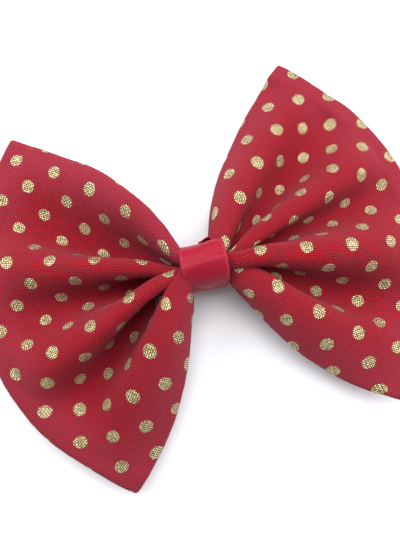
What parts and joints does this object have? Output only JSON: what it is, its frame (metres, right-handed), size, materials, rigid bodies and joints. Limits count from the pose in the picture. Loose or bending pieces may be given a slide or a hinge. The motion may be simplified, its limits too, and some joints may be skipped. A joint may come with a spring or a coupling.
{
  "type": "bow tie",
  "caption": "Clip-on bow tie: pleated, fan-shaped wings of dotted cotton gathered in a satin ribbon knot, with a sprung clip at the back.",
  "frame": {"origin": "under the centre of the knot, on the plane the bow lies on, at the bottom centre of its box", "axes": "+X along the bow towards the clip's lever end, +Y across the bow towards its upper edge as worn, +Z out of the front face"},
  "size_m": [0.1044, 0.083, 0.0165],
  "materials": {
    "printed_cotton": "plain-weave cotton printed with gold foil dots",
    "interfacing": "matt non-woven stiffener",
    "red_thread": "spun polyester thread",
    "satin_ribbon": "single-face satin, glossy",
    "glue": "set hot-melt glue",
    "plated_steel": "nickel-plated steel strip",
    "spring_steel": "bare spring wire"
  },
  "bodies": {
    "bow": {"front_panel": "printed_cotton", "back_panel": "printed_cotton", "interfacing": "interfacing", "edge_seam_thread": "red_thread", "gather_thread": "red_thread", "centre_ribbon": "satin_ribbon", "ribbon_stitches": "red_thread", "glue_pad": "glue", "clip_upper_arm": "plated_steel", "clip_pin": "plated_steel", "clip_spring": "spring_steel"},
    "jaw": {"clip_lower_arm": "plated_steel"}
  },
  "joints": [
    {"name": "jaw_hinge", "type": "hinge", "parent": "bow", "child": "jaw", "pos_m": [0.009, 0, 0.0025], "axis": [0, -1, 0], "range_deg": [0, 16], "stiffness_Nm_per_rad": 0.06, "springref_deg": -51.57, "deforming": ["clip_spring"]}
  ]
}
